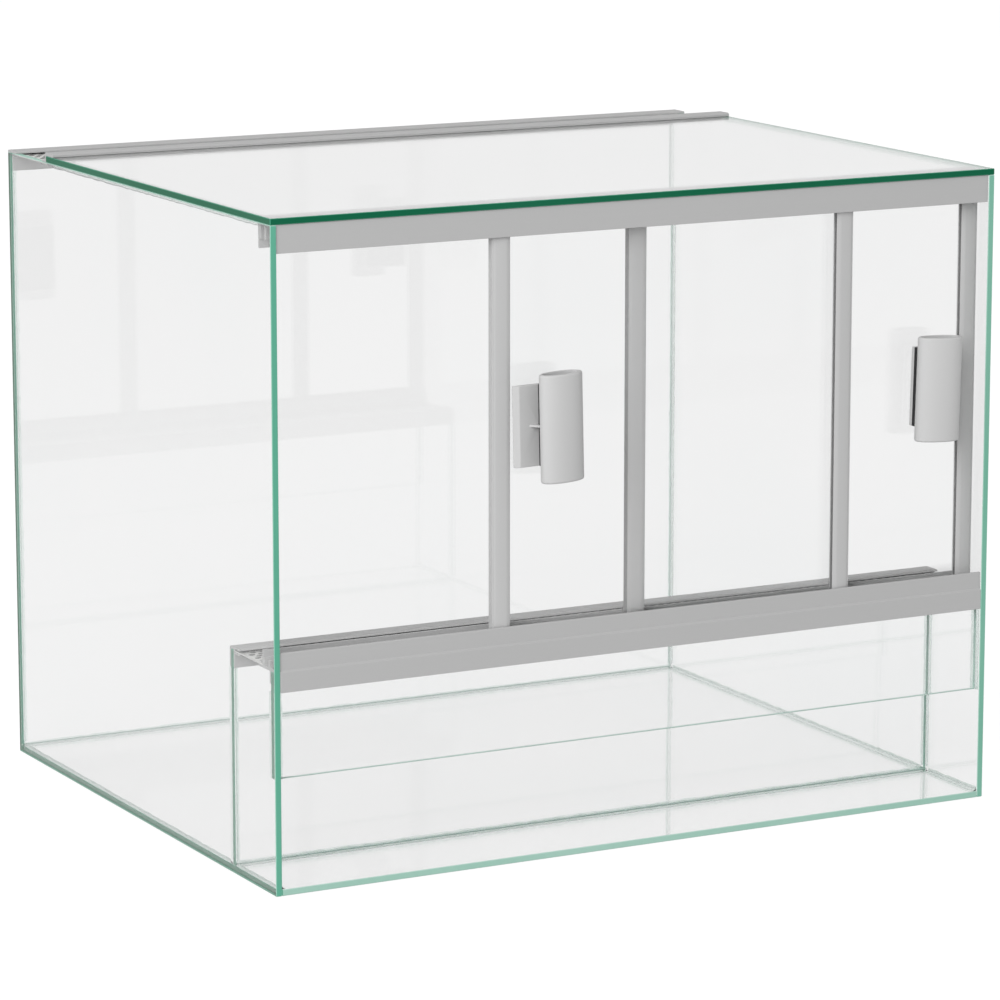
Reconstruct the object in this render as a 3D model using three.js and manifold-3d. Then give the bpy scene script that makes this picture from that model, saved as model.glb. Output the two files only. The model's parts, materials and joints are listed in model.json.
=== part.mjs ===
// A frameless glass terrarium cabinet with two sliding doors, in millimetres.
//
// Frame: +Z up, +X to the right and +Y to the back as seen from the doors. The origin is the centre
// of the footprint, on the surface that the cabinet stands on.
//
// Float glass panes are bonded with silicone. The doors run in a lower and an upper rail. Below the
// lower rail a glass strip hangs in front of a recessed pane: air enters under the strip, rises
// through a perforated plate behind the door track, and leaves through a second plate at the top rear.

import * as THREE from 'three';
import { mergeVertices } from 'three/addons/utils/BufferGeometryUtils.js';
import Module from 'manifold-3d';

// ---------------------------------------------------------------- driving dimensions

// Glass body
const WIDTH = 500;
const DEPTH = 400;
const SIDE_HEIGHT = 401;
const GLASS = 4;
const ARRIS = 0.4; // flat ground along each edge of a pane
const TOP_PANE_DEPTH = 336;
const LOWER_PANE_SETBACK = 60;
const LOWER_PANE_TOP = 138.2;
const STRIP_SETBACK = 4;
const STRIP_BOTTOM = 70.5;

// Door rails: depths are measured from the front of the cabinet, heights from the table
const RAIL_FRONT = 1;
const RAIL_BACK = 19.5;
const RAIL_WALL = 1.5;
const RAIL_LIP = 1.75;
const FASCIA_WALL = 1.6;
const GROOVE_WIDTH = 5;
const TRACK_CENTRES = [6.25, 13.75];
const LOWER_FASCIA_BOTTOM = 123.5;
const LOWER_FASCIA_STEP = 136;
const LOWER_FASCIA_TOP = 147.5;
const LOWER_REAR_WALL_TOP = 146.5;
const LOWER_RAIL_UNDERSIDE = 135.5;
const LOWER_GROOVE_FLOOR = 137.5;
const LOWER_SHOULDER = 142;
const RAIL_FLANGE_END = 26; // how far back the lower rail reaches under the vent plate
const RAIL_COVER_END = 23.5; // and over it
const UPPER_FASCIA_BOTTOM = 384;
const UPPER_REAR_LEG_BOTTOM = 385.5;
const UPPER_SHOULDER = 391;
const UPPER_GROOVE_ROOF = 399.5;

// Vent plates and the profiles that hold them
const PLATE_THICKNESS = 1.5;
const PLATE_END_GAP = 0.25;
const PLATE_FLANGE = 1.5;
const LOWER_PLATE_BOTTOM = 137;
const CLIP_WALL = 1.5;
const LOWER_CLIP_FRONT = 52;
const LOWER_CLIP_TOP = 139.8;
const LOWER_CLIP_LEG_BOTTOM = 127;
const REAR_CLIP_FRONT = 386;
const REAR_CLIP_TOP = 402.5;
const REAR_CLIP_LEG_BOTTOM = 389;
const TOP_CLIP_FRONT = 325;
const TOP_CLIP_LIP = 2.5;
const TOP_CLIP_ARM_INSET = 1;
const TOP_CLIP_FLANGE = 8.5; // how far the channel reaches under the rear plate
const TOP_CLIP_COVER = 5.5; // and over it
const REAR_CLIP_FLANGE_INSET = 2;
const PLATE_COVER = 1.2;
const HOLE_SIZE = 6;
const HOLE_PITCH = 12;
const ROW_PITCH = 10;
const LOWER_HOLE_ROWS = 2;
const REAR_HOLE_ROWS = 3;

// Doors
const DOOR_WIDTH = 252;
const DOOR_GLASS_BOTTOM = 137.75;
const DOOR_GLASS_TOP = 394.5;
const EDGE_BOTTOM = 143;
const EDGE_TOP = 390;
const EDGE_WIDTH = 12;
const EDGE_DEPTH = 6;
const EDGE_WEB = 1.2;
const LEFT_DOOR_AT = 147; // left edge of the half-open left door, from the cabinet's left side
const RIGHT_DOOR_AT = 243.5; // left edge of the closed right door

// Handles: depths are measured outwards from the door glass, widths from the edge profile
const HANDLE_HEIGHT = 269;
const HANDLE_LEAN = THREE.MathUtils.degToRad(1.4);
const HANDLE_GAP = 1.1;
const HANDLE_BASE = { width: 35.5, height: 50, thickness: 3, bevel: 3.5 };
const HANDLE_PAD = { thickness: 1, inset: 1.25 };
const HANDLE_SPACER = { width: 19.4, reach: 14 };
const HANDLE_GRIP = { across: 30, through: 15, height: 66, wall: 2.2, offset: 24.9, reach: 16.8 };
const HANDLE_TURN = THREE.MathUtils.degToRad(7); // how far the grip's broad face is turned inwards
const HANDLE_GUSSET = { length: 6, reach: 11, thickness: 1.6 };
const HANDLE_SKIRT = 1; // height of the base's upright edge under its bevel
const HANDLE_ROOT = 1; // how deep the gusset is sunk into the base
const FIT_GAP = 0.3;

// Silicone
const BEAD = 3;
const BEAD_INSET = 1; // where the front bay's side beads start behind the front edge
const BEDDING_BOTTOM = 126;

// ---------------------------------------------------------------- materials

const material = {
  glass: new THREE.MeshStandardMaterial({ color: 0xbfe0d4, roughness: 0.04, metalness: 0 }),
  profile: new THREE.MeshStandardMaterial({ color: 0xb2b2b2, roughness: 0.5, metalness: 0 }),
  vent: new THREE.MeshStandardMaterial({ color: 0xd0d0d0, roughness: 0.35, metalness: 0.9 }),
  handle: new THREE.MeshStandardMaterial({ color: 0xc4c4c4, roughness: 0.45, metalness: 0 }),
  dark: new THREE.MeshStandardMaterial({ color: 0x2c2c2c, roughness: 0.8, metalness: 0 }),
  silicone: new THREE.MeshStandardMaterial({ color: 0xdfe9e6, roughness: 0.25, metalness: 0 }),
};

// ---------------------------------------------------------------- shapes

const X = new THREE.Vector3(1, 0, 0);
const Y = new THREE.Vector3(0, 1, 0);
const Z = new THREE.Vector3(0, 0, 1);

// Where an outline's first axis, second axis and the extrusion point, for each extrusion direction.
const EXTRUDE_AXES = { x: [Y, Z, X], y: [Z, X, Y], z: [X, Y, Z] };
const CURVE_SEGMENTS = 16;

/** A closed outline from a list of corners, as a THREE.Shape. */
function outline(corners) {
  return new THREE.Shape(corners.map(([a, b]) => new THREE.Vector2(a, b)));
}

/** An outline pushed from one place to another along x, y or z. */
function prism(shape, direction, from, to, bevel = 0) {
  const geometry = new THREE.ExtrudeGeometry(shape, {
    depth: to - from - 2 * bevel,
    bevelEnabled: bevel > 0,
    bevelThickness: bevel,
    bevelSize: bevel,
    bevelOffset: -bevel,
    bevelSegments: 1,
    curveSegments: CURVE_SEGMENTS,
  });
  geometry.translate(0, 0, from + bevel);
  geometry.applyMatrix4(new THREE.Matrix4().makeBasis(...EXTRUDE_AXES[direction]));
  return geometry;
}

/** The four corners of a rectangle. */
function rectangle([a0, a1], [b0, b1]) {
  return [[a0, b0], [a1, b0], [a1, b1], [a0, b1]];
}

/** A named mesh. */
function piece(name, geometry, finish) {
  const mesh = new THREE.Mesh(geometry, finish);
  mesh.name = name;
  return mesh;
}

/** A pane with ground edges, lying across the axis that its thickness runs along. */
function pane(name, across, xRange, yRange, zRange) {
  const sides = { x: [yRange, zRange, xRange], y: [zRange, xRange, yRange], z: [xRange, yRange, zRange] };
  const [first, second, thickness] = sides[across];
  const shape = outline(rectangle(first, second));
  return piece(name, prism(shape, across, thickness[0], thickness[1], ARRIS), material.glass);
}

// ---------------------------------------------------------------- joining and cutting

const WELD = 1e-4; // corners closer than this are one corner
const OVERCUT = 1; // how far a cutting shape runs past what it cuts

const wasm = await Module();
wasm.setup();

/** A closed three.js geometry as a solid. */
function solid(geometry) {
  const bare = geometry.index ? geometry.toNonIndexed() : geometry.clone();
  bare.deleteAttribute('normal');
  bare.deleteAttribute('uv');
  const merged = mergeVertices(bare, WELD);
  return new wasm.Manifold(new wasm.Mesh({
    numProp: 3,
    vertProperties: merged.attributes.position.array,
    triVerts: new Uint32Array(merged.index.array),
  }));
}

/** A solid as a three.js geometry. */
function geometryOf(body) {
  const mesh = body.getMesh();
  const geometry = new THREE.BufferGeometry();
  geometry.setAttribute('position', new THREE.BufferAttribute(mesh.vertProperties, 3));
  geometry.setIndex(new THREE.BufferAttribute(mesh.triVerts, 1));
  geometry.computeVertexNormals();
  return geometry;
}

/** Several geometries joined into one. */
function joined(geometries) {
  return geometryOf(geometries.map(solid).reduce((whole, next) => whole.add(next)));
}

/** A geometry with others cut out of it. */
function cut(geometry, ...tools) {
  return geometryOf(tools.map(solid).reduce((rest, tool) => rest.subtract(tool), solid(geometry)));
}

// ---------------------------------------------------------------- places

const LEFT = -WIDTH / 2;
const RIGHT = WIDTH / 2;
const FRONT = -DEPTH / 2;
const BACK = DEPTH / 2;
const INSIDE = [LEFT + GLASS, RIGHT - GLASS];
const TOP = SIDE_HEIGHT + GLASS;
const BACK_PANE_FRONT = DEPTH - GLASS;

/** An outline whose depths are measured from the front of the cabinet. */
function section(corners) {
  return outline(corners.map(([depth, height]) => [FRONT + depth, height]));
}

/** A range of depths measured from the front of the cabinet. */
function depths(from, to) {
  return [FRONT + from, FRONT + to];
}

// ---------------------------------------------------------------- glass body

function glassBody() {
  const height = [0, SIDE_HEIGHT];
  const lower = depths(LOWER_PANE_SETBACK, LOWER_PANE_SETBACK + GLASS);
  const strip = depths(STRIP_SETBACK, STRIP_SETBACK + GLASS);
  return [
    pane('side_pane_left', 'x', [LEFT, LEFT + GLASS], [FRONT, BACK], height),
    pane('side_pane_right', 'x', [RIGHT - GLASS, RIGHT], [FRONT, BACK], height),
    pane('bottom_pane', 'z', INSIDE, [FRONT, BACK], [0, GLASS]),
    pane('back_pane', 'y', INSIDE, [BACK - GLASS, BACK], [GLASS, SIDE_HEIGHT]),
    pane('top_pane', 'z', [LEFT, RIGHT], depths(0, TOP_PANE_DEPTH), [SIDE_HEIGHT, TOP]),
    pane('lower_front_pane', 'y', INSIDE, lower, [GLASS, LOWER_PANE_TOP]),
    pane('front_strip_pane', 'y', INSIDE, strip, [STRIP_BOTTOM, LOWER_RAIL_UNDERSIDE]),
  ];
}

// ---------------------------------------------------------------- door rails

const grooves = TRACK_CENTRES.map((centre) => [centre - GROOVE_WIDTH / 2, centre + GROOVE_WIDTH / 2]);
const RAIL_LIP_BACK = RAIL_FRONT + RAIL_LIP;
const REAR_WALL_FRONT = RAIL_BACK - RAIL_WALL;

/** The lower rail: two grooves, a stepped fascia, a groove for the strip and a slot for the plate. */
function lowerDoorRail() {
  const stepRise = 0.8;
  const lipRound = 0.5;
  const stripBack = STRIP_SETBACK + GLASS;
  const stripLegBottom = 128;
  const slotTop = LOWER_PLATE_BOTTOM + PLATE_THICKNESS;
  const [front, rear] = grooves;
  const shape = section([
    [0, LOWER_FASCIA_BOTTOM],
    [FASCIA_WALL, LOWER_FASCIA_BOTTOM],
    [FASCIA_WALL, LOWER_RAIL_UNDERSIDE],
    [stripBack, LOWER_RAIL_UNDERSIDE],
    [stripBack, stripLegBottom],
    [stripBack + RAIL_WALL, stripLegBottom],
    [stripBack + RAIL_WALL, LOWER_RAIL_UNDERSIDE],
    [RAIL_FLANGE_END, LOWER_RAIL_UNDERSIDE],
    [RAIL_FLANGE_END, LOWER_PLATE_BOTTOM],
    [RAIL_BACK, LOWER_PLATE_BOTTOM],
    [RAIL_BACK, slotTop],
    [RAIL_COVER_END, slotTop],
    [RAIL_COVER_END, slotTop + PLATE_COVER],
    [RAIL_BACK, slotTop + PLATE_COVER],
    [RAIL_BACK, LOWER_REAR_WALL_TOP],
    [REAR_WALL_FRONT, LOWER_REAR_WALL_TOP],
    [REAR_WALL_FRONT, LOWER_SHOULDER],
    [rear[1], LOWER_SHOULDER],
    [rear[1], LOWER_GROOVE_FLOOR],
    [rear[0], LOWER_GROOVE_FLOOR],
    [rear[0], LOWER_SHOULDER],
    [front[1], LOWER_SHOULDER],
    [front[1], LOWER_GROOVE_FLOOR],
    [front[0], LOWER_GROOVE_FLOOR],
    [front[0], LOWER_SHOULDER],
    [RAIL_LIP_BACK, LOWER_SHOULDER],
    [RAIL_LIP_BACK, LOWER_FASCIA_TOP],
    [RAIL_FRONT + lipRound, LOWER_FASCIA_TOP],
    [RAIL_FRONT, LOWER_FASCIA_TOP - lipRound],
    [RAIL_FRONT, LOWER_FASCIA_STEP + stepRise],
    [0, LOWER_FASCIA_STEP],
  ]);
  return piece('lower_door_rail', prism(shape, 'x', ...INSIDE), material.profile);
}

/** The upper rail: the same two grooves, opening downwards under the top pane. */
function upperDoorRail() {
  const [front, rear] = grooves;
  const shape = section([
    [RAIL_FRONT, UPPER_FASCIA_BOTTOM],
    [RAIL_LIP_BACK, UPPER_FASCIA_BOTTOM],
    [RAIL_LIP_BACK, UPPER_SHOULDER],
    [front[0], UPPER_SHOULDER],
    [front[0], UPPER_GROOVE_ROOF],
    [front[1], UPPER_GROOVE_ROOF],
    [front[1], UPPER_SHOULDER],
    [rear[0], UPPER_SHOULDER],
    [rear[0], UPPER_GROOVE_ROOF],
    [rear[1], UPPER_GROOVE_ROOF],
    [rear[1], UPPER_SHOULDER],
    [REAR_WALL_FRONT, UPPER_SHOULDER],
    [REAR_WALL_FRONT, UPPER_REAR_LEG_BOTTOM],
    [RAIL_BACK, UPPER_REAR_LEG_BOTTOM],
    [RAIL_BACK, SIDE_HEIGHT],
    [RAIL_FRONT, SIDE_HEIGHT],
  ]);
  return piece('upper_door_rail', prism(shape, 'x', ...INSIDE), material.profile);
}

// ---------------------------------------------------------------- vents

/** The clip on the recessed pane, with a slot in front for the lower vent plate. */
function lowerVentClip() {
  const paneFront = LOWER_PANE_SETBACK;
  const paneBack = LOWER_PANE_SETBACK + GLASS;
  const slotEnd = paneFront - CLIP_WALL;
  const slotTop = LOWER_PLATE_BOTTOM + PLATE_THICKNESS;
  const flangeBottom = LOWER_PLATE_BOTTOM - PLATE_FLANGE;
  const round = 0.8;
  const shape = section([
    [LOWER_CLIP_FRONT, slotTop],
    [slotEnd, slotTop],
    [slotEnd, LOWER_PLATE_BOTTOM],
    [LOWER_CLIP_FRONT, LOWER_PLATE_BOTTOM],
    [LOWER_CLIP_FRONT, flangeBottom],
    [slotEnd, flangeBottom],
    [slotEnd, LOWER_CLIP_LEG_BOTTOM],
    [paneFront, LOWER_CLIP_LEG_BOTTOM],
    [paneFront, LOWER_PANE_TOP],
    [paneBack, LOWER_PANE_TOP],
    [paneBack, LOWER_CLIP_LEG_BOTTOM],
    [paneBack + CLIP_WALL, LOWER_CLIP_LEG_BOTTOM],
    [paneBack + CLIP_WALL, LOWER_CLIP_TOP - round],
    [paneBack + CLIP_WALL - round, LOWER_CLIP_TOP],
    [LOWER_CLIP_FRONT + round, LOWER_CLIP_TOP],
    [LOWER_CLIP_FRONT, LOWER_CLIP_TOP - round],
  ]);
  return piece('lower_vent_clip', prism(shape, 'x', ...INSIDE), material.profile);
}

/** A full-width profile, notched where it would run into the side panes. */
function notchedOverSides(geometry) {
  const side = outline(rectangle([FRONT, BACK + OVERCUT], [0, SIDE_HEIGHT]));
  const left = prism(side, 'x', LEFT - OVERCUT, INSIDE[0]);
  const right = prism(side, 'x', INSIDE[1], RIGHT + OVERCUT);
  return cut(geometry, left, right);
}

/** The clip on the back pane, with a slot in front for the rear vent plate. */
function rearVentClip() {
  const slotEnd = BACK_PANE_FRONT - CLIP_WALL;
  const slotFloor = SIDE_HEIGHT - PLATE_THICKNESS;
  const flangeFront = REAR_CLIP_FRONT + REAR_CLIP_FLANGE_INSET;
  const round = 0.6;
  const shape = section([
    [REAR_CLIP_FRONT, SIDE_HEIGHT],
    [slotEnd, SIDE_HEIGHT],
    [slotEnd, slotFloor],
    [flangeFront, slotFloor],
    [flangeFront, slotFloor - PLATE_FLANGE],
    [slotEnd, slotFloor - PLATE_FLANGE],
    [slotEnd, REAR_CLIP_LEG_BOTTOM],
    [BACK_PANE_FRONT, REAR_CLIP_LEG_BOTTOM],
    [BACK_PANE_FRONT, SIDE_HEIGHT],
    [DEPTH, SIDE_HEIGHT],
    [DEPTH, REAR_CLIP_TOP - round],
    [DEPTH - round, REAR_CLIP_TOP],
    [REAR_CLIP_FRONT + round, REAR_CLIP_TOP],
    [REAR_CLIP_FRONT, REAR_CLIP_TOP - round],
  ]);
  const bar = prism(shape, 'x', LEFT, RIGHT);
  return piece('rear_vent_clip', notchedOverSides(bar), material.profile);
}

/** The clip on the rear edge of the top pane, with a slot behind for the rear vent plate. */
function rearVentChannel() {
  const webBack = TOP_PANE_DEPTH + CLIP_WALL;
  const slotFloor = SIDE_HEIGHT - PLATE_THICKNESS;
  const flangeBottom = slotFloor - PLATE_FLANGE;
  const flangeBack = webBack + TOP_CLIP_FLANGE;
  const coverBack = webBack + TOP_CLIP_COVER;
  const coverTop = SIDE_HEIGHT + PLATE_COVER;
  const lipTop = TOP + TOP_CLIP_LIP;
  const armFront = TOP_CLIP_FRONT + TOP_CLIP_ARM_INSET;
  const round = 0.9;
  const shape = section([
    [TOP_CLIP_FRONT, TOP],
    [TOP_PANE_DEPTH, TOP],
    [TOP_PANE_DEPTH, SIDE_HEIGHT],
    [armFront, SIDE_HEIGHT],
    [armFront, slotFloor],
    [TOP_PANE_DEPTH, slotFloor],
    [TOP_PANE_DEPTH, flangeBottom],
    [flangeBack, flangeBottom],
    [flangeBack, slotFloor],
    [webBack, slotFloor],
    [webBack, SIDE_HEIGHT],
    [coverBack, SIDE_HEIGHT],
    [coverBack, coverTop],
    [webBack, coverTop],
    [webBack, lipTop - round],
    [webBack - round, lipTop],
    [TOP_CLIP_FRONT + round, lipTop],
    [TOP_CLIP_FRONT, lipTop - round],
  ]);
  const bar = prism(shape, 'x', LEFT, RIGHT);
  return piece('rear_vent_channel', notchedOverSides(bar), material.profile);
}

/** A perforated plate with staggered rows of diamond holes, lying level. */
function ventPlate(name, yRange, openRange, rows, bottom) {
  const xRange = [INSIDE[0] + PLATE_END_GAP, INSIDE[1] - PLATE_END_GAP];
  const shape = outline(rectangle(xRange, yRange));
  const columns = Math.floor((xRange[1] - xRange[0] - HOLE_PITCH) / HOLE_PITCH);
  const middle = (openRange[0] + openRange[1]) / 2;
  const half = HOLE_SIZE / 2;
  for (let row = 0; row < rows; row += 1) {
    const y = middle + (row - (rows - 1) / 2) * ROW_PITCH;
    const stagger = row % 2 ? HOLE_PITCH / 4 : -HOLE_PITCH / 4;
    for (let column = 0; column < columns; column += 1) {
      const x = (column - (columns - 1) / 2) * HOLE_PITCH + stagger;
      const corners = [[x - half, y], [x, y + half], [x + half, y], [x, y - half]];
      shape.holes.push(new THREE.Path(corners.map(([a, b]) => new THREE.Vector2(a, b))));
    }
  }
  return piece(name, prism(shape, 'z', bottom, bottom + PLATE_THICKNESS), material.vent);
}

function vents() {
  const channelBack = TOP_PANE_DEPTH + CLIP_WALL;
  const lowerPlate = depths(RAIL_BACK, LOWER_PANE_SETBACK - CLIP_WALL);
  const rearPlate = depths(channelBack, BACK_PANE_FRONT - CLIP_WALL);
  const lowerOpen = depths(RAIL_FLANGE_END, LOWER_CLIP_FRONT);
  const rearOpen = depths(channelBack + TOP_CLIP_FLANGE, REAR_CLIP_FRONT);
  const rearBottom = SIDE_HEIGHT - PLATE_THICKNESS;
  return [
    lowerVentClip(),
    ventPlate('lower_vent_plate', lowerPlate, lowerOpen, LOWER_HOLE_ROWS, LOWER_PLATE_BOTTOM),
    rearVentClip(),
    ventPlate('rear_vent_plate', rearPlate, rearOpen, REAR_HOLE_ROWS, rearBottom),
    rearVentChannel(),
  ];
}

// ---------------------------------------------------------------- silicone

/** A triangular bead in the corner at (a, b), reaching out along the signs, pushed along an axis. */
function bead(direction, [a, b], [signA, signB], [from, to]) {
  const corners = [[a, b], [a + signA * BEAD, b], [a, b + signB * BEAD]];
  return prism(outline(signA * signB > 0 ? corners : corners.reverse()), direction, from, to);
}

/** A level bead across the cabinet, where the face of a pane at y meets the floor. */
function crossBead(name, y, sign) {
  return piece(name, bead('x', [y, GLASS], [sign, 1], INSIDE), material.silicone);
}

/** A pair of upright or level beads, one against each side pane. */
function sideBeads(name, direction, place, sign, range) {
  return [['left', INSIDE[0], 1], ['right', INSIDE[1], -1]].map(([side, x, inward]) => {
    const corner = direction === 'z' ? [[x, place], [inward, sign]] : [[place, x], [sign, inward]];
    return piece(name.replace('SIDE', side), bead(direction, ...corner, range), material.silicone);
  });
}

function silicone() {
  const lowerFront = FRONT + LOWER_PANE_SETBACK;
  const lowerBack = lowerFront + GLASS;
  const backFace = BACK - GLASS;
  const stripFront = FRONT + STRIP_SETBACK;
  const stripBack = stripFront + GLASS;
  const aboveFloorBead = GLASS + BEAD + FIT_GAP;
  const lowerUpright = [aboveFloorBead, LOWER_CLIP_LEG_BOTTOM - FIT_GAP];
  const backUpright = [aboveFloorBead, REAR_CLIP_LEG_BOTTOM - FIT_GAP];
  const stripUpright = [STRIP_BOTTOM, LOWER_FASCIA_BOTTOM - FIT_GAP];
  const underTop = depths(RAIL_BACK + FIT_GAP, TOP_CLIP_FRONT - FIT_GAP);
  const floorSides = [lowerBack + BEAD + FIT_GAP, backFace - BEAD - FIT_GAP];
  const baySides = [FRONT + BEAD_INSET, lowerFront - BEAD - FIT_GAP];
  const beddingDepths = depths(FASCIA_WALL, STRIP_SETBACK);
  const bedding = outline(rectangle(beddingDepths, [BEDDING_BOTTOM, LOWER_RAIL_UNDERSIDE]));
  return [
    crossBead('silicone_floor_front', lowerBack, 1),
    crossBead('silicone_floor_back', backFace, -1),
    ...sideBeads('silicone_floor_SIDE', 'y', GLASS, 1, floorSides),
    crossBead('silicone_bay_back', lowerFront, -1),
    ...sideBeads('silicone_bay_SIDE', 'y', GLASS, 1, baySides),
    ...sideBeads('silicone_back_SIDE', 'z', backFace, -1, backUpright),
    ...sideBeads('silicone_lower_pane_SIDE_front', 'z', lowerFront, -1, lowerUpright),
    ...sideBeads('silicone_lower_pane_SIDE_rear', 'z', lowerBack, 1, lowerUpright),
    ...sideBeads('silicone_strip_SIDE_front', 'z', stripFront, -1, stripUpright),
    ...sideBeads('silicone_strip_SIDE_rear', 'z', stripBack, 1, stripUpright),
    ...sideBeads('silicone_top_SIDE', 'y', SIDE_HEIGHT, -1, underTop),
    piece('strip_bedding', prism(bedding, 'x', ...INSIDE), material.silicone),
  ];
}

// ---------------------------------------------------------------- doors

/** The U-shaped profile pushed over one upright edge of a door. The web is at x = 0. */
function doorEdge(name, inward) {
  const half = EDGE_DEPTH / 2;
  const glass = GLASS / 2;
  const softening = 0.9;
  const crownRise = 0.1;
  const crownFrom = 4;
  const crownTo = 8.5;
  const crownDrop = 0.6;
  const corners = [
    [0, softening - half],
    [softening, crownRise - half],
    [crownFrom, -half],
    [crownTo, -half],
    [EDGE_WIDTH, crownDrop - half],
    [EDGE_WIDTH, -glass],
    [EDGE_WEB, -glass],
    [EDGE_WEB, glass],
    [EDGE_WIDTH, glass],
    [EDGE_WIDTH, half],
    [softening, half],
    [0, half - softening],
  ].map(([x, y]) => [inward * x, y]);
  const shape = outline(inward > 0 ? corners : corners.reverse());
  return piece(name, prism(shape, 'z', EDGE_BOTTOM, EDGE_TOP), material.profile);
}

/** The oval of a handle's grip, made smaller by an inset or larger by a negative one. */
function gripOval(path, inward, inset) {
  const across = HANDLE_GRIP.across / 2 - inset;
  const through = HANDLE_GRIP.through / 2 - inset;
  const place = [inward * HANDLE_GRIP.offset, -HANDLE_GRIP.reach];
  path.absellipse(...place, across, through, 0, 2 * Math.PI, false, inward * HANDLE_TURN);
  return path;
}

/** A block on the face of a door, from one distance to another beside the edge profile. */
function handleBlock(inward, [from, to], [reach, back], halfHeight) {
  const width = inward > 0 ? [from, to] : [-to, -from];
  return prism(outline(rectangle(width, [reach, back])), 'z', -halfHeight, halfHeight);
}

/** The adhesive pad between the glass and the handle's base. */
function handlePad(name, inward) {
  const span = [HANDLE_PAD.inset, HANDLE_BASE.width - HANDLE_PAD.inset];
  const halfHeight = HANDLE_BASE.height / 2 - HANDLE_PAD.inset;
  const pad = handleBlock(inward, span, [-HANDLE_PAD.thickness, 0], halfHeight);
  return piece(name, pad, material.dark);
}

/** The base plate, bevelled towards the edge profile, with a small gusset up to the spacer. */
function handleBase(name, inward) {
  const back = -HANDLE_PAD.thickness;
  const front = back - HANDLE_BASE.thickness;
  const spacerAt = HANDLE_BASE.width - HANDLE_SPACER.width;
  const plate = [
    [0, back],
    [0, back - HANDLE_SKIRT],
    [HANDLE_BASE.bevel, front],
    [HANDLE_BASE.width, front],
    [HANDLE_BASE.width, back],
  ];
  const gusset = [
    [spacerAt - HANDLE_GUSSET.length, front],
    [spacerAt - FIT_GAP, -HANDLE_GUSSET.reach],
    [spacerAt - FIT_GAP, front + HANDLE_ROOT],
    [spacerAt - HANDLE_GUSSET.length, front + HANDLE_ROOT],
  ];
  const place = (corners) => outline(corners.map(([x, y]) => [inward * x, y]));
  const halfHeight = HANDLE_BASE.height / 2;
  const halfGusset = HANDLE_GUSSET.thickness / 2;
  return piece(name, joined([
    prism(place(plate), 'z', -halfHeight, halfHeight),
    prism(place(gusset), 'z', -halfGusset, halfGusset),
  ]), material.handle);
}

/** The dark spacer between base and grip, hollowed to the round of the grip. */
function handleSpacer(name, inward) {
  const front = -HANDLE_PAD.thickness - HANDLE_BASE.thickness;
  const span = [HANDLE_BASE.width - HANDLE_SPACER.width, HANDLE_BASE.width];
  const halfHeight = HANDLE_BASE.height / 2;
  const block = handleBlock(inward, span, [-HANDLE_SPACER.reach, front], halfHeight);
  const round = gripOval(new THREE.Shape(), inward, -FIT_GAP);
  const hollow = prism(round, 'z', -halfHeight - OVERCUT, halfHeight + OVERCUT);
  return piece(name, cut(block, hollow), material.dark);
}

/** The grip: an upright oval tube, open at both ends. */
function handleGrip(name, inward) {
  const rim = 0.5;
  const shape = gripOval(new THREE.Shape(), inward, 0);
  shape.holes.push(gripOval(new THREE.Path(), inward, HANDLE_GRIP.wall));
  const halfHeight = HANDLE_GRIP.height / 2;
  return piece(name, prism(shape, 'z', -halfHeight, halfHeight, rim), material.handle);
}

/** A handle, beside the edge profile that it pulls, on the face of the door glass. */
function handle(door, inward) {
  const group = new THREE.Group();
  group.rotation.y = -inward * HANDLE_LEAN;
  group.add(
    handlePad(`${door}_handle_pad`, inward),
    handleBase(`${door}_handle_base`, inward),
    handleSpacer(`${door}_handle_spacer`, inward),
    handleGrip(`${door}_handle_grip`, inward),
  );
  return group;
}

/** A door: its glass, an edge profile on each side and a handle beside the outer one. */
function slidingDoor(door, leftEdge, track, handleSide) {
  const group = new THREE.Group();
  group.position.set(LEFT + leftEdge, FRONT + TRACK_CENTRES[track], 0);
  const glassWidth = [EDGE_WEB, DOOR_WIDTH - EDGE_WEB];
  const glassDepth = [-GLASS / 2, GLASS / 2];
  const glassHeight = [DOOR_GLASS_BOTTOM, DOOR_GLASS_TOP];
  const leftProfile = doorEdge(`${door}_left_edge`, 1);
  const rightProfile = doorEdge(`${door}_right_edge`, -1);
  rightProfile.position.x = DOOR_WIDTH;
  const grip = handle(door, handleSide === 'left' ? 1 : -1);
  const beside = EDGE_WIDTH + HANDLE_GAP;
  grip.position.set(handleSide === 'left' ? beside : DOOR_WIDTH - beside, -GLASS / 2, HANDLE_HEIGHT);
  group.add(
    pane(`${door}_glass`, 'y', glassWidth, glassDepth, glassHeight),
    leftProfile,
    rightProfile,
    grip,
  );
  return group;
}

// ---------------------------------------------------------------- assembly

const cabinet = new THREE.Group();
cabinet.add(
  ...glassBody(),
  upperDoorRail(),
  lowerDoorRail(),
  ...vents(),
  ...silicone(),
  slidingDoor('left_door', LEFT_DOOR_AT, 0, 'left'),
  slidingDoor('right_door', RIGHT_DOOR_AT, 1, 'right'),
);

export default cabinet;
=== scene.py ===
"""Looks of a frameless glass terrarium cabinet with two sliding doors.

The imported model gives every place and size. Each operator makes one group of pieces around it:
glass panes with ground edges, extruded profiles, perforated vent plates, door handles and silicone
seams. The last one makes the stage with its floor, lamps and camera. Lengths are in metres.
"""

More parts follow.
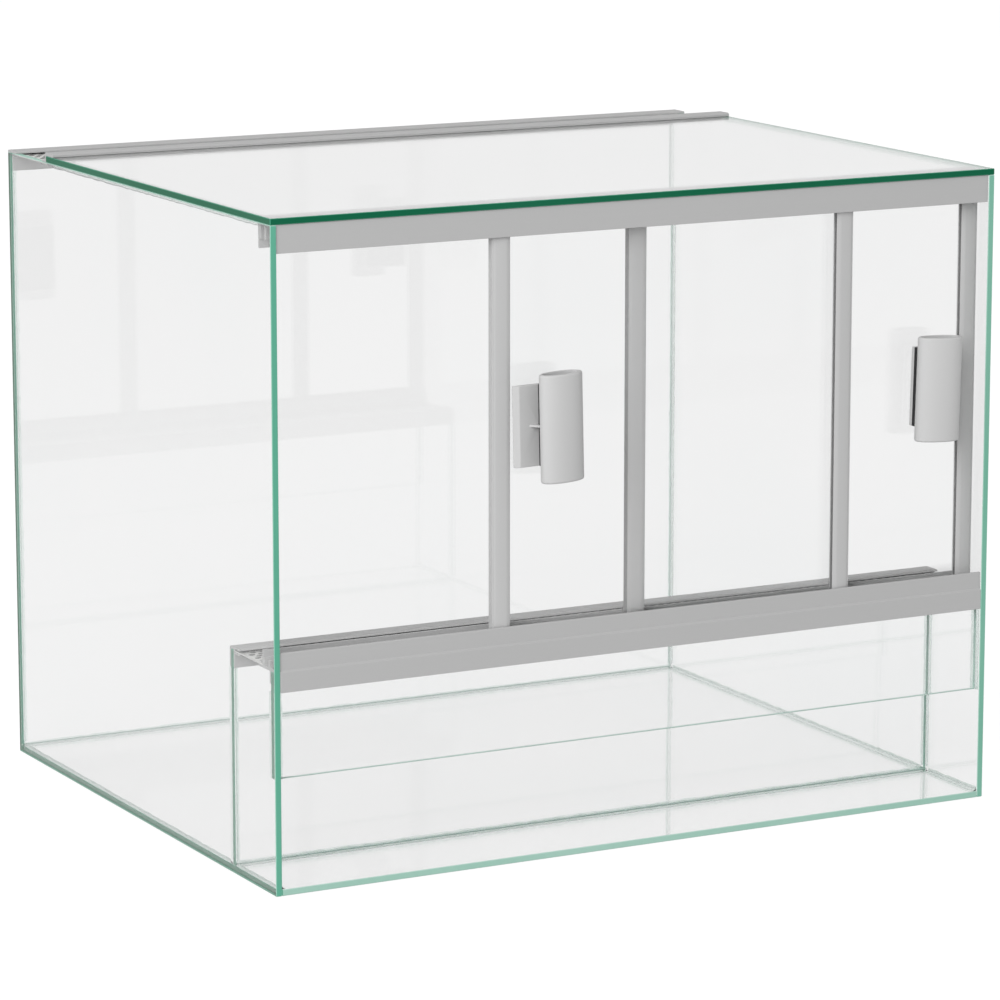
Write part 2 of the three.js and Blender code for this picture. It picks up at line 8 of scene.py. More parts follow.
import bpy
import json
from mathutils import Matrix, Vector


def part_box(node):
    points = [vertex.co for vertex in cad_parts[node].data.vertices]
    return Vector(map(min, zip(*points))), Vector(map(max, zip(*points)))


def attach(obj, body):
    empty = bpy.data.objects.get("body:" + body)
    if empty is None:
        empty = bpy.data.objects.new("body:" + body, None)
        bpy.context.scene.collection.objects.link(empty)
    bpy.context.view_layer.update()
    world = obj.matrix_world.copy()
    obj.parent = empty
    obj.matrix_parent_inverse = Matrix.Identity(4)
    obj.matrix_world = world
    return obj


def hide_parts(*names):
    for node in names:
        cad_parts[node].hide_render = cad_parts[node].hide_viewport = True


bl_info = {
    "name": "Terrarium Cabinet Looks",
    "version": (1, 0, 0),
    "blender": (4, 5, 0),
    "location": "3D View > Sidebar > Terrarium",
    "description": "Glass, profiles, vents, handles and seams of a terrarium cabinet with sliding doors",
    "category": "Add Mesh",
}

import json
import math
import random

import bmesh
import bpy
import numpy
from bpy.props import FloatProperty, FloatVectorProperty, IntProperty, PointerProperty
from bpy.types import Operator, Panel, PropertyGroup
from mathutils import Matrix, Vector

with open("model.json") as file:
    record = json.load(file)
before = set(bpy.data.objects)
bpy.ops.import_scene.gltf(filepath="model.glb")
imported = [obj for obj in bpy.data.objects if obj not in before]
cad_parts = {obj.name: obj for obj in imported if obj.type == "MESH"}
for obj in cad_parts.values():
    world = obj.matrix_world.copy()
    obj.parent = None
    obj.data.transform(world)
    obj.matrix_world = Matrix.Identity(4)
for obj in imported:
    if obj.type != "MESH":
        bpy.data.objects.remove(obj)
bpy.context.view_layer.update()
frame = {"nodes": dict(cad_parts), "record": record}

MM = 0.001


def screen_colour(red, green, blue):
    """A colour read off a screen, from 0 to 255, as the linear RGBA that a shader takes."""

    def linear(value):
        share = value / 255
        return share / 12.92 if share <= 0.04045 else ((share + 0.055) / 1.055) ** 2.4

    return (linear(red), linear(green), linear(blue), 1.0)


def colour_property(name, description, red, green, blue):
    """A colour that a user may change, with its default as seen on screen."""
    return FloatVectorProperty(
        name=name,
        description=description,
        default=screen_colour(red, green, blue),
        size=4,
        min=0.0,
        max=1.0,
        subtype="COLOR",
    )


def length_property(name, description, millimetres):
    """A length that a user may change, with its default in millimetres."""
    return FloatProperty(
        name=name, description=description, default=millimetres * MM, min=0.0, unit="LENGTH", precision=5
    )


def share_property(name, description, share):
    """A share, or a level against white, that a user may change."""
    return FloatProperty(name=name, description=description, default=share, min=0.0)


def angle_property(name, description, degrees):
    """An angle that a user may change, with its default in degrees."""
    return FloatProperty(
        name=name,
        description=description,
        default=math.radians(degrees),
        subtype="ANGLE",
        unit="ROTATION",
    )


def power_property(name, description, watts):
    """The power of a lamp that a user may change."""
    return FloatProperty(name=name, description=description, default=watts, min=0.0, unit="POWER")


# ---------------------------------------------------------------- settings


class GlassSettings(PropertyGroup):
    clear: colour_property("Clear glass", "Tint of the light that a pane passes", 254, 254, 254)
    deep: colour_property("Deep edge", "Edge with a long way through the glass behind it", 6, 92, 62)
    green: colour_property("Green edge", "Edge of an upright pane", 92, 166, 141)
    pale: colour_property("Pale edge", "Edge that silicone wets against its neighbour", 222, 234, 230)
    refraction: FloatProperty(name="Refraction", description="Index of float glass", default=1.52, min=1)
    arris: length_property("Arris", "Width of the flat ground along each edge", 0.4)
    bond: length_property("Bond line", "Film of silicone between two panes", 0.1)


class ProfileSettings(PropertyGroup):
    grey: colour_property("Profile grey", "Satin grey of the rails and clips", 174, 174, 174)
    edge: colour_property("Door edge grey", "Satin grey of the door edges", 183, 183, 183)
    # Painted shade: a darker grey that stands for the shade in a door edge's slot, seen through the
    # glass, and on the rear door's web side that faces the front door.
    slot_shade: colour_property("Slot shade grey", "Strip in a door edge's slot and on one web", 142, 142, 142)
    fillet: length_property("Fillet", "Radius along the corners of an extrusion", 0.3)
    skin: length_property("Clearance", "How far each face stands back from what it touches", 0.05)
    crown: length_property("Crown", "How far a door edge falls away towards its web", 0.52)
    taper: length_property("Taper", "How far a door edge falls away towards the glass", 0.8)


class VentSettings(PropertyGroup):
    metal: colour_property("Vent metal", "Bright rolled sheet", 226, 226, 224)
    # Painted shade: the walls of the punched holes are dark grey for the shade that fills the holes.
    shade: colour_property("Hole wall shade", "Dull wall of a punched hole", 64, 65, 65)
    thickness: length_property("Thickness", "Thickness of the sheet, in a slot that is wider", 0.8)
    hole_length: length_property("Hole length", "Size of a hole along the sheet", 4.3)
    hole_width: length_property("Hole width", "Size of a hole across the sheet", 3.1)
    pitch_along: length_property("Pitch along", "From one hole to the next in a row", 6.0)
    pitch_across: length_property("Pitch across", "From one row to the next", 4.6)
    hole_sides: IntProperty(name="Hole sides", description="Sides of a punched hole", default=14, min=6)


class HandleSettings(PropertyGroup):
    grey: colour_property("Handle grey", "Light satin grey of the moulded handles", 190, 190, 190)
    pad: colour_property("Foam", "Adhesive foam and dark spacer", 44, 44, 45)
    across: length_property("Grip width", "Width of the oval tube", 29.8)
    through: length_property("Grip depth", "Depth of the oval tube", 14.7)
    height: length_property("Grip height", "Length of the oval tube", 66.0)
    wall: length_property("Grip wall", "Wall of the oval tube", 2.2)
    rim: length_property("Outer rim", "Radius along the outside of the open ends", 1.4)
    inner_rim: length_property("Inner rim", "Radius along the inside of the open ends", 0.5)
    turn: angle_property("Turn", "How far the broad face of a grip is turned inwards", 7)
    lean: angle_property("Lean", "How far a grip is turned from upright", 1.4)


class SiliconeSettings(PropertyGroup):
    clear: colour_property("Silicone", "Tint of a clear seam", 232, 240, 237)
    wobble: share_property("Wobble", "Share by which a seam's reach varies", 0.22)
    step: length_property("Step", "Length over which a seam's reach may change", 5.0)


class StageSettings(PropertyGroup):
    backdrop: share_property("Backdrop", "What the camera sees past the cabinet", 1.0)
    through: share_property("Through glass", "The backdrop as seen in and behind glass", 0.85)
    ambient: share_property("Ambient", "Even light from all round", 0.56)
    floor: share_property("Floor", "Share of the light that the floor returns", 0.2)
    key: power_property("Key lamp", "Large soft lamp to the left", 255)
    fill: power_property("Fill lamp", "Soft lamp behind", 15)


class CabinetSettings(PropertyGroup):
    glass: PointerProperty(type=GlassSettings)
    profile: PointerProperty(type=ProfileSettings)
    vent: PointerProperty(type=VentSettings)
    handle: PointerProperty(type=HandleSettings)
    silicone: PointerProperty(type=SiliconeSettings)
    stage: PointerProperty(type=StageSettings)


def settings():
    """The sizes and colours of this scene."""
    return bpy.context.scene.terrarium_cabinet


# ---------------------------------------------------------------- shader nodes


def add(tree, kind, *values, **named):
    """A new node. Values fill its inputs in order and named ones by name; an output is linked in."""
    node = tree.nodes.new(kind)
    for key in [key for key in named if hasattr(node, key) and key.islower()]:
        setattr(node, key, named.pop(key))
    filled = [(node.inputs[i], value) for i, value in enumerate(values)]
    filled += [(node.inputs[key.replace("_", " ")], value) for key, value in named.items()]
    for socket, value in filled:
        if isinstance(value, bpy.types.NodeSocket):
            tree.links.new(value, socket)
        elif value is not None:
            socket.default_value = value
    return node


def math_node(tree, operation, *values):
    """The result of one operation on values or outputs."""
    return add(tree, "ShaderNodeMath", *values, operation=operation).outputs[0]


def noise(tree, place, scale, detail, roughness=0.5):
    """A cloudy pattern from 0 to 1."""
    made = add(tree, "ShaderNodeTexNoise", place, Scale=scale, Detail=detail, Roughness=roughness)
    return made.outputs[0]


def remapped(tree, value, low, high, new_low, new_high):
    """A value between two limits, moved in step to two new limits and held there."""
    return add(tree, "ShaderNodeMapRange", value, low, high, new_low, new_high).outputs[0]


def bumped(tree, height, strength, depth):
    """A normal that follows a height."""
    return add(tree, "ShaderNodeBump", Strength=strength, Distance=depth, Height=height).outputs[0]


def principled(tree, **values):
    """The common shader of every finish, as its output."""
    return add(tree, "ShaderNodeBsdfPrincipled", **values).outputs[0]


def mix_colour(tree, share, first, second, blend="MIX"):
    """Two colours mixed by a share."""
    node = tree.nodes.new("ShaderNodeMix")
    node.data_type = "RGBA"
    node.blend_type = blend
    for name, value in (("Factor_Float", share), ("A_Color", first), ("B_Color", second)):
        socket = next(s for s in node.inputs if s.identifier == name)
        if isinstance(value, bpy.types.NodeSocket):
            tree.links.new(value, socket)
        else:
            socket.default_value = value
    return next(s for s in node.outputs if s.identifier == "Result_Color")


def effect_group(name, inputs, outputs):
    """An empty shader node group with named sockets, and its input and output nodes."""
    tree = bpy.data.node_groups.new(name, "ShaderNodeTree")
    for label, kind, default in inputs:
        socket = tree.interface.new_socket(name=label, in_out="INPUT", socket_type=kind)
        if default is not None:
            socket.default_value = default
    for label, kind in outputs:
        tree.interface.new_socket(name=label, in_out="OUTPUT", socket_type=kind)
    return tree, tree.nodes.new("NodeGroupInput").outputs, tree.nodes.new("NodeGroupOutput").inputs


def grain_group():
    """Fine lines drawn along an extrusion or a ground edge: a shade about 1 and a height."""
    tree, given, out = effect_group(
        "Drawn grain",
        [
            ("Vector", "NodeSocketVector", None),
            ("Stretch", "NodeSocketVector", (1.0, 1.0, 1.0)),
            ("Contrast", "NodeSocketFloat", 0.05),
        ],
        [("Shade", "NodeSocketFloat"), ("Height", "NodeSocketFloat")],
    )
    place = add(tree, "ShaderNodeMapping", given["Vector"], Scale=given["Stretch"]).outputs[0]
    fine = noise(tree, place, 1.0, 4.0, 0.6)
    broad = noise(tree, given["Vector"], 9.0, 2.0)
    both = math_node(tree, "MULTIPLY_ADD", fine, 0.7, math_node(tree, "MULTIPLY", broad, 0.3))
    centred = math_node(tree, "SUBTRACT", both, 0.5)
    shade = math_node(tree, "MULTIPLY_ADD", centred, given["Contrast"], 1.0)
    tree.links.new(shade, out["Shade"])
    tree.links.new(fine, out["Height"])
    return tree


def wear_and_highlight_group():
    """Where a corner, outer or inner, is painted pale: wear that handling rubs, and a painted highlight
    where the amount is high. A mask.
    """
    tree, given, out = effect_group(
        "Edge wear and highlight",
        [
            ("Vector", "NodeSocketVector", None),
            ("Radius", "NodeSocketFloat", 0.0005),
            ("Amount", "NodeSocketFloat", 0.5),
        ],
        [("Mask", "NodeSocketFloat")],
    )
    rounded = add(tree, "ShaderNodeBevel", given["Radius"], samples=4).outputs[0]
    true = tree.nodes.new("ShaderNodeNewGeometry").outputs["Normal"]
    turned = add(tree, "ShaderNodeVectorMath", rounded, true, operation="DOT_PRODUCT").outputs["Value"]
    corner = remapped(tree, turned, 0.99, 0.8, 0.0, 1.0)
    patchy = noise(tree, given["Vector"], 70.0, 3.0)
    broken = remapped(tree, patchy, 0.35, 0.65, 0.2, 1.0)
    mask = math_node(tree, "MULTIPLY", math_node(tree, "MULTIPLY", corner, broken), given["Amount"])
    tree.links.new(mask, out["Mask"])
    return tree


def dust_group():
    """Dust that lies on what faces up, thicker in patches: a mask."""
    tree, given, out = effect_group(
        "Dust",
        [
            ("Vector", "NodeSocketVector", None),
            ("Scale", "NodeSocketFloat", 40.0),
            ("Amount", "NodeSocketFloat", 0.2),
        ],
        [("Mask", "NodeSocketFloat")],
    )
    normal = tree.nodes.new("ShaderNodeNewGeometry").outputs["Normal"]
    upward = add(tree, "ShaderNodeSeparateXYZ", normal).outputs["Z"]
    lying = remapped(tree, upward, 0.3, 1.0, 0.1, 1.0)
    patches = noise(tree, given["Vector"], given["Scale"], 5.0)
    thick = remapped(tree, patches, 0.4, 0.8, 0.0, 1.0)
    mask = math_node(tree, "MULTIPLY", math_node(tree, "MULTIPLY", lying, thick), given["Amount"])
    tree.links.new(mask, out["Mask"])
    return tree


EFFECTS = {"grain": grain_group, "wear_and_highlight": wear_and_highlight_group, "dust": dust_group}


def effect(tree, name, **values):
    """One of the shared groups in a material, made on first use. Gives its outputs."""
    label = f"effect_{name}"
    group = bpy.data.node_groups.get(label)
    if group is None:
        group = EFFECTS[name]()
        group.name = label
    node = tree.nodes.new("ShaderNodeGroup")
    node.node_tree = group
    for key, value in values.items():
        if isinstance(value, bpy.types.NodeSocket):
            tree.links.new(value, node.inputs[key])
        else:
            node.inputs[key].default_value = value
    return node.outputs


# ---------------------------------------------------------------- materials


def material(name, build):
    """A material made on first use by a function that takes its node tree and gives its shader."""
    found = bpy.data.materials.get(name)
    if found:
        return found
    made = bpy.data.materials.new(name)
    made.use_nodes = True
    tree = made.node_tree
    tree.nodes.clear()
    out = tree.nodes.new("ShaderNodeOutputMaterial")
    tree.links.new(build(tree), out.inputs["Surface"])
    return made


def object_place(tree):
    """Where a point lies on its piece."""
    return tree.nodes.new("ShaderNodeTexCoord").outputs["Object"]


def open_to_lamps(tree, shader):
    """A shader that bends light, but lets most of what comes from lamps straight through."""
    to_lamp = tree.nodes.new("ShaderNodeLightPath").outputs["Is Shadow Ray"]
    passed = (0.95, 0.95, 0.95, 1.0)
    clear = add(tree, "ShaderNodeBsdfTransparent", passed).outputs[0]
    return add(tree, "ShaderNodeMixShader", to_lamp, shader, clear).outputs[0]


def clear_glass():
    """Float glass: sharp, faintly green, with a breath of haze here and there."""
    look = settings().glass

    def build(tree):
        haze = noise(tree, object_place(tree), 6.0, 3.0)
        veil = remapped(tree, haze, 0.45, 0.75, 0.0, 0.5)
        tint = mix_colour(tree, veil, tuple(look.clear), screen_colour(252, 253, 253))
        glass = principled(
            tree,
            Base_Color=tint,
            Roughness=0.0,
            IOR=look.refraction,
            Specular_IOR_Level=0.18,
            Transmission_Weight=1.0,
        )
        return open_to_lamps(tree, glass)

    return material("float_sheet", build)


def ground_edge():
    """The satin ground edge of a pane, from pale to deep green by how much glass lies behind it."""
    look = settings().glass

    def build(tree):
        place = object_place(tree)
        tone = tree.nodes.new("ShaderNodeAttribute")
        tone.attribute_name = "edge_tone"
        drift = noise(tree, place, 7.0, 2.0)
        centred = math_node(tree, "SUBTRACT", drift, 0.5)
        shifted = math_node(tree, "MULTIPLY_ADD", centred, 0.14, tone.outputs["Fac"])
        ramp = tree.nodes.new("ShaderNodeValToRGB")
        tree.links.new(shifted, ramp.inputs[0])
        stops = ramp.color_ramp.elements
        stops[0].color, stops[1].color = look.pale, look.deep
        stops.new(0.5).color = look.green
        grain = effect(tree, "grain", Vector=place, Stretch=(1500.0, 1500.0, 1500.0), Contrast=0.12)
        shaded = mix_colour(tree, 1.0, ramp.outputs[0], grain["Shade"], "MULTIPLY")
        rough = math_node(tree, "MULTIPLY_ADD", grain["Height"], 0.12, 0.2)
        bump = bumped(tree, grain["Height"], 0.08, 0.1 * MM)
        return principled(
            tree,
            Base_Color=shaded,
            Roughness=rough,
            IOR=look.refraction,
            Specular_IOR_Level=0.1,
            Normal=bump,
        )

    return material("ground_edge", build)


def satin_plastic(name, colour, stretch, contrast=0.05, rough=0.42, worn_and_lit=0.25, dusty=0.12):
    """Satin plastic with drawn or moulded grain, corners rubbed paler and painted with highlight, and a
    trace of dust.
    """

    def build(tree):
        place = object_place(tree)
        grain = effect(tree, "grain", Vector=place, Stretch=stretch, Contrast=contrast)
        wear_and_highlight = effect(tree, "wear_and_highlight", Vector=place, Radius=0.4 * MM, Amount=worn_and_lit)["Mask"]
        dust = effect(tree, "dust", Vector=place, Scale=55.0, Amount=dusty)["Mask"]
        base = mix_colour(tree, 1.0, tuple(colour), grain["Shade"], "MULTIPLY")
        # Pale corners: partly rubbed wear, partly a painted highlight that grows with the amount.
        rubbed_and_lit = mix_colour(tree, wear_and_highlight, base, screen_colour(214, 214, 213))
        dusted = mix_colour(tree, dust, rubbed_and_lit, screen_colour(205, 203, 198))
        dull = math_node(tree, "MULTIPLY_ADD", grain["Height"], 0.12, rough)
        duller = math_node(tree, "MULTIPLY_ADD", dust, 0.3, dull)
        bump = bumped(tree, grain["Height"], 0.1, 0.1 * MM)
        return principled(tree, Base_Color=dusted, Roughness=duller, Normal=bump)

    return material(name, build)


def rail_plastic():
    """Satin rails and clips, drawn along the cabinet's width, with a strong painted highlight along every
    corner and crease.
    """
    colour = settings().profile.grey
    return satin_plastic("satin_rail", colour, (6.0, 1400.0, 1400.0), worn_and_lit=0.8, dusty=0.05)


def edge_plastic():
    """Satin door edges, drawn upwards."""
    return satin_plastic("satin_door_edge", settings().profile.edge, (1400.0, 1400.0, 6.0))


def edge_slot_shade():
    """Painted shade in the slot of a door edge, and on the rear door's web side, as a duller, darker
    grey.
    """
    return satin_plastic("painted_slot_shade", settings().profile.slot_shade, (900.0, 900.0, 40.0), 0.2, 0.7)


def handle_plastic():
    """Satin moulded handles, with no direction in the grain."""
    return satin_plastic("moulded_handle", settings().handle.grey, (700.0, 700.0, 700.0), 0.03, 0.36)


def dark_foam():
    """Matt dark foam with open cells, for the pad and the spacer."""
    look = settings().handle

    def build(tree):
        place = object_place(tree)
        cells = add(tree, "ShaderNodeTexVoronoi", place, Scale=1600.0)
        pits = remapped(tree, cells.outputs["Distance"], 0.0, 0.5, 0.7, 1.0)
        base = mix_colour(tree, 1.0, tuple(look.pad), pits, "MULTIPLY")
        dust = effect(tree, "dust", Vector=place, Scale=120.0, Amount=0.15)["Mask"]
        dusted = mix_colour(tree, dust, base, screen_colour(120, 119, 116))
        bump = bumped(tree, pits, 0.5, 0.2 * MM)
        rough = math_node(tree, "MULTIPLY_ADD", pits, -0.2, 1.0)
        return principled(tree, Base_Color=dusted, Roughness=rough, Normal=bump)

    return material("dark_foam_and_spacer", build)


def vent_metal():
    """Bright rolled sheet with faint rolling lines and dust between the holes."""
    look = settings().vent

    def build(tree):
        place = object_place(tree)
        grain = effect(tree, "grain", Vector=place, Stretch=(12.0, 1800.0, 1800.0), Contrast=0.1)
        dust = effect(tree, "dust", Vector=place, Scale=80.0, Amount=0.25)["Mask"]
        base = mix_colour(tree, 1.0, tuple(look.metal), grain["Shade"], "MULTIPLY")
        dusted = mix_colour(tree, dust, base, screen_colour(196, 194, 190))
        rough = math_node(tree, "MULTIPLY_ADD", grain["Height"], 0.2, 0.28)
        bump = bumped(tree, grain["Height"], 0.15, 0.1 * MM)
        return principled(tree, Base_Color=dusted, Metallic=0.9, Roughness=rough, Normal=bump)

    return material("rolled_sheet", build)


def hole_wall_shade():
    """Painted shade on the walls of the punched holes: a dark grey with a torn grain."""
    look = settings().vent

    def build(tree):
        place = object_place(tree)
        torn = effect(tree, "grain", Vector=place, Stretch=(2500.0, 2500.0, 300.0), Contrast=0.5)
        base = mix_colour(tree, 1.0, tuple(look.shade), torn["Shade"], "MULTIPLY")
        rough = math_node(tree, "MULTIPLY_ADD", torn["Height"], 0.2, 0.5)
        return principled(tree, Base_Color=base, Metallic=0.6, Roughness=rough)

    return material("painted_hole_shade", build)


def clear_silicone():
    """A clear, slightly milky seam that lets lamps through."""
    look = settings().silicone

    def build(tree):
        place = object_place(tree)
        cloud = noise(tree, place, 160.0, 3.0)
        milk = remapped(tree, cloud, 0.35, 0.7, 0.0, 0.6)
        tint = mix_colour(tree, milk, tuple(look.clear), screen_colour(244, 248, 246))
        skin = effect(tree, "grain", Vector=place, Stretch=(300.0, 300.0, 300.0), Contrast=0.1)
        bump = bumped(tree, skin["Height"], 0.25, 0.3 * MM)
        seam = principled(
            tree,
            Base_Color=tint,
            Roughness=0.12,
            IOR=1.41,
            Transmission_Weight=1.0,
            Normal=bump,
        )
        return open_to_lamps(tree, seam)

    return material("clear_silicone", build)


# ---------------------------------------------------------------- meshes


def body_of_node(node):
    """The name of the body that carries a CAD node."""
    bodies = frame["record"]["behaviour"]["bodies"]
    return next(body for body, members in bodies.items() if node in members)


def finish_piece(name, mesh, materials, node):
    """An object for a mesh that stands for one CAD node and rides on its body.

    A mesh that has its materials already is given none.
    """
    made = bpy.data.objects.new(name, mesh)
    bpy.context.scene.collection.objects.link(made)
    for each in materials:
        mesh.materials.append(each)
    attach(made, body_of_node(node))
    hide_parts(node)
    return made


def mesh_of(bm, name, smooth_below=35.0):
    """A mesh from a bmesh, smooth except at its real corners."""
    bm.normal_update()
    for face in bm.faces:
        face.smooth = True
    for edge in bm.edges:
        edge.smooth = len(edge.link_faces) == 2 and edge.calc_face_angle(0.0) < math.radians(smooth_below)
    mesh = bpy.data.meshes.new(name)
    bm.to_mesh(mesh)
    bm.free()
    return mesh


def carrier_of(mesh):
    """An object that carries a mesh only until its modifiers are applied."""
    carrier = bpy.data.objects.new(mesh.name, mesh)
    bpy.context.scene.collection.objects.link(carrier)
    return carrier


def applied(carrier):
    """The plain mesh that a carrier's modifiers make. The carrier is removed."""
    bpy.context.view_layer.update()
    evaluated = carrier.evaluated_get(bpy.context.evaluated_depsgraph_get())
    mesh = bpy.data.meshes.new_from_object(evaluated)
    carrier.modifiers.clear()
    bpy.data.objects.remove(carrier)
    return mesh


# Faces that meet at more degrees than this make a corner of a profile or a moulding.
CORNER_DEGREES = 20.0


def softened(mesh, radius):
    """A mesh whose corners have a small radius, with flat faces that still shade flat."""
    carrier = carrier_of(mesh)
    bevel = carrier.modifiers.new("Bevel", "BEVEL")
    bevel.width = radius
    bevel.segments = 3
    bevel.limit_method = "ANGLE"
    bevel.angle_limit = math.radians(CORNER_DEGREES)
    bevel.harden_normals = True
    bevel.miter_outer = "MITER_ARC"
    return applied(carrier)


def node_mesh(node, clearance):
    """A clean copy of a CAD node's mesh, whose faces stand back a little from what they touch."""
    bm = bmesh.new()
    bm.from_mesh(frame["nodes"][node].data)
    same_point = 0.002 * MM
    same_plane = math.radians(0.5)
    bmesh.ops.remove_doubles(bm, verts=bm.verts, dist=same_point)
    bmesh.ops.dissolve_limit(bm, angle_limit=same_plane, verts=bm.verts, edges=bm.edges)
    bm.normal_update()
    nearly_parallel = 0.05
    moves = []
    for vert in bm.verts:
        normals = [tuple(face.normal) for face in vert.link_faces]
        inward = [-clearance] * len(normals)
        move = numpy.linalg.lstsq(numpy.array(normals), numpy.array(inward), rcond=nearly_parallel)[0]
        moves.append(move)
    for vert, move in zip(bm.verts, moves):
        vert.co += Vector(move)
    return mesh_of(bm, node, smooth_below=CORNER_DEGREES)


def extrusion(section, axis, start, end, shade_sides=()):
    """A bmesh of a closed section pushed along an axis, from where its 3-D points lie.

    A side has the number of the point that it leads up to, and the listed shaded sides take the second
    material, which paints shade on them.
    """
    bm = bmesh.new()
    away = Vector([(end - start) if i == axis else 0.0 for i in range(3)])
    near = [bm.verts.new(point) for point in section]
    far = [bm.verts.new(point + away) for point in section]
    bm.faces.new(near)
    bm.faces.new(far[::-1])
    for i, vert in enumerate(near):
        side = bm.faces.new((near[i - 1], far[i - 1], far[i], vert))
        side.material_index = int(i in shade_sides)
    bmesh.ops.recalc_face_normals(bm, faces=bm.faces)
    return bm


def rings(loops, closed_around):
    """A bmesh skinned over loops of points; the last loop joins the first if closed_around."""
    bm = bmesh.new()
    rows = [[bm.verts.new(point) for point in loop] for loop in loops]
    pairs = list(zip(rows, rows[1:]))
    if closed_around:
        pairs.append((rows[-1], rows[0]))
    else:
        bm.faces.new(rows[0][::-1])
        bm.faces.new(rows[-1])
    for lower, upper in pairs:
        for i in range(len(lower)):
            bm.faces.new((lower[i - 1], lower[i], upper[i], upper[i - 1]))
    bmesh.ops.recalc_face_normals(bm, faces=bm.faces)
    return bm


# ---------------------------------------------------------------- glass panes

SIDE_NAMES = (("left", "right"), ("front", "back"), ("bottom", "top"))

# How deep the green of each edge is, from 0 for one that silicone wets to 1 for the deepest, and
# the sides where the pane stands off its neighbour by the bond line.
PANES = {
    "top_pane": ({"front": 1.0, "left": 0.97, "right": 0.85, "back": 0.7}, ("bottom",)),
    "side_pane_left": ({"front": 0.5, "back": 1.0, "top": 0.35, "bottom": 0.6}, ()),
    "side_pane_right": ({"front": 0.42, "back": 0.35, "top": 0.35, "bottom": 0.6}, ()),
    "bottom_pane": ({"front": 0.32, "back": 0.4, "left": 0.92, "right": 0.7}, ("left", "right")),
    "back_pane": ({"left": 0.6, "right": 0.0, "bottom": 0.1, "top": 0.4}, ("left", "right", "bottom")),
    "lower_front_pane": (
        {"left": 0.85, "right": 0.3, "bottom": 0.15, "top": 0.4},
        ("left", "right", "bottom", "top"),
    ),
    "front_strip_pane": (
        {"left": 0.85, "right": 0.15, "bottom": 0.15, "top": 0.4},
        ("left", "right", "top"),
    ),
    "left_door_glass": ({"left": 0.3, "right": 0.3, "bottom": 0.5, "top": 0.5}, ()),
    "right_door_glass": ({"left": 0.3, "right": 0.3, "bottom": 0.5, "top": 0.5}, ()),
}


def pane_mesh(node, tones, bonded):
    """A pane with an arris along every edge, and the tone of each edge as a face attribute."""
    look = settings().glass
    low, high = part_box(node)
    for axis, names in enumerate(SIDE_NAMES):
        low[axis] += look.bond * (names[0] in bonded)
        high[axis] -= look.bond * (names[1] in bonded)
    size = high - low
    across = min(range(3), key=lambda axis: size[axis])
    bm = bmesh.new()
    bmesh.ops.create_cube(bm, size=1.0)
    for vert in bm.verts:
        vert.co = Vector([low[i] + (vert.co[i] + 0.5) * size[i] for i in range(3)])
    bmesh.ops.bevel(
        bm, geom=bm.edges[:], offset=look.arris, offset_type="OFFSET", segments=1, affect="EDGES"
    )
    bm.normal_update()
    layer = bm.faces.layers.float.new("edge_tone")
    # The narrow arris faces take a paler tone than their edge: a painted highlight where the arris
    # catches the light.
    arris_highlight = 0.75
    for face in bm.faces:
        facing = [abs(value) for value in face.normal]
        if facing[across] > 0.99:
            continue
        face.material_index = 1
        along = [axis for axis in range(3) if axis != across]
        named = {axis: tones[SIDE_NAMES[axis][face.normal[axis] > 0]] for axis in along}
        total = sum(facing[axis] for axis in along)
        tone = sum(facing[axis] * named[axis] for axis in along) / total
        face[layer] = tone if max(facing) > 0.99 else tone * arris_highlight
    return mesh_of(bm, node, smooth_below=10.0)


class CABINET_OT_panes(Operator):
    """Make the seven body panes and the two door panes with their ground edges"""

    bl_idname = "cabinet.panes"
    bl_label = "Glass Panes"

    def execute(self, context):
        for node, (tones, bonded) in PANES.items():
            mesh = pane_mesh(node, tones, bonded)
            finish_piece(f"{node}_sheet", mesh, [clear_glass(), ground_edge()], node)
        return {"FINISHED"}


# ---------------------------------------------------------------- profiles

RAILS = ("upper_door_rail", "lower_door_rail", "lower_vent_clip", "rear_vent_clip", "rear_vent_channel")


class CABINET_OT_rails(Operator):
    """Make the door rails and the clips and channel that hold the vent plates"""

    bl_idname = "cabinet.rails"
    bl_label = "Rails and Clips"

    def execute(self, context):
        look = settings().profile
        for node in RAILS:
            mesh = softened(node_mesh(node, look.skin), look.fillet)
            finish_piece(f"{node}_extrusion", mesh, [rail_plastic()], node)
        return {"FINISHED"}


# The number of the side along a door edge's web. On the rear door this side faces the front door, and
# painted shade lies on it.
WEB_SIDE = 3


def door_edge_section(node, glass):
    """A door's edge profile at its lower end: groove, crowned face and last the slot's four corners."""
    look = settings().profile
    low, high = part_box(node)
    glass_low, glass_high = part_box(glass)
    width = high.x - low.x
    web_is_left = node.endswith("left_edge")
    web = 1.2 * MM
    nose = 0.25 * MM
    side_drop = 1.0 * MM
    groove_at, groove_width, groove_depth = 0.6 * MM, 0.2 * MM, 0.2 * MM
    groove_lip = 0.05 * MM
    crown_from, crown_to = 1.7 * MM, width - 2.4 * MM
    crown_steps = 10
    front = [
        (0.0, side_drop + nose),
        (nose, side_drop),
        (groove_at, side_drop),
        (groove_at + groove_width / 2, side_drop + groove_depth),
        (groove_at + groove_width, side_drop - groove_lip),
    ]
    for i in range(crown_steps + 1):
        share = i / crown_steps
        x = crown_from + (crown_to - crown_from) * share
        front.append((x, look.crown * (1 - share) ** 2))
    front.append((width, look.taper))
    corners = [(width, high.y), (nose, high.y), (0.0, high.y - nose)]
    corners += [(x, low.y + drop) for x, drop in front]
    corners += [(width, glass_low.y - look.skin), (web, glass_low.y - look.skin)]
    corners += [(web, glass_high.y + look.skin), (width, glass_high.y + look.skin)]
    return [Vector((low.x + x if web_is_left else high.x - x, y, low.z)) for x, y in corners]


